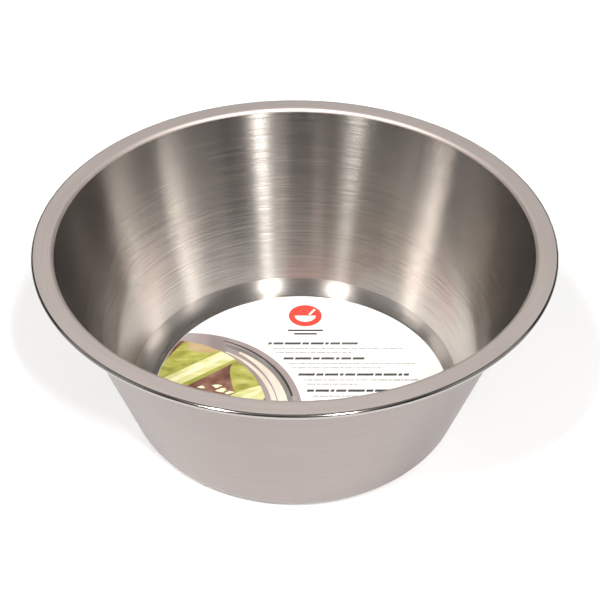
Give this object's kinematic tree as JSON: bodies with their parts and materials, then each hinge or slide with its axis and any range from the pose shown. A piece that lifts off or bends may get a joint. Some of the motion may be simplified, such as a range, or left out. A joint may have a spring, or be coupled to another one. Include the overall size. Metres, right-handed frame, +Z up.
{
  "type": "mixing bowl",
  "caption": "Conical stainless-steel mixing bowl with a flat base, a wide flat rim curled at its edge, and a removable round paper label on the inside floor.",
  "frame": {"origin": "centre of the flat underside, where the bowl stands", "axes": "+Z up along the bowl's axis, towards the open mouth; +X to the right and +Y to the back as the label is read"},
  "size_m": [0.28, 0.28, 0.113],
  "materials": {
    "stainless_sheet": "spun and brushed round the axis inside, satin outside and on the rim",
    "label_paper": null,
    "label_adhesive": "clear removable acrylic adhesive film"
  },
  "bodies": {
    "bowl": {"bowl_shell": "stainless_sheet"},
    "label": {"label_paper": "label_paper", "label_adhesive": "label_adhesive"}
  },
  "joints": [
    {"name": "label_lift", "type": "slide", "parent": "bowl", "child": "label", "axis": [0, 0, 1], "range_m": [0, 0.15]}
  ]
}
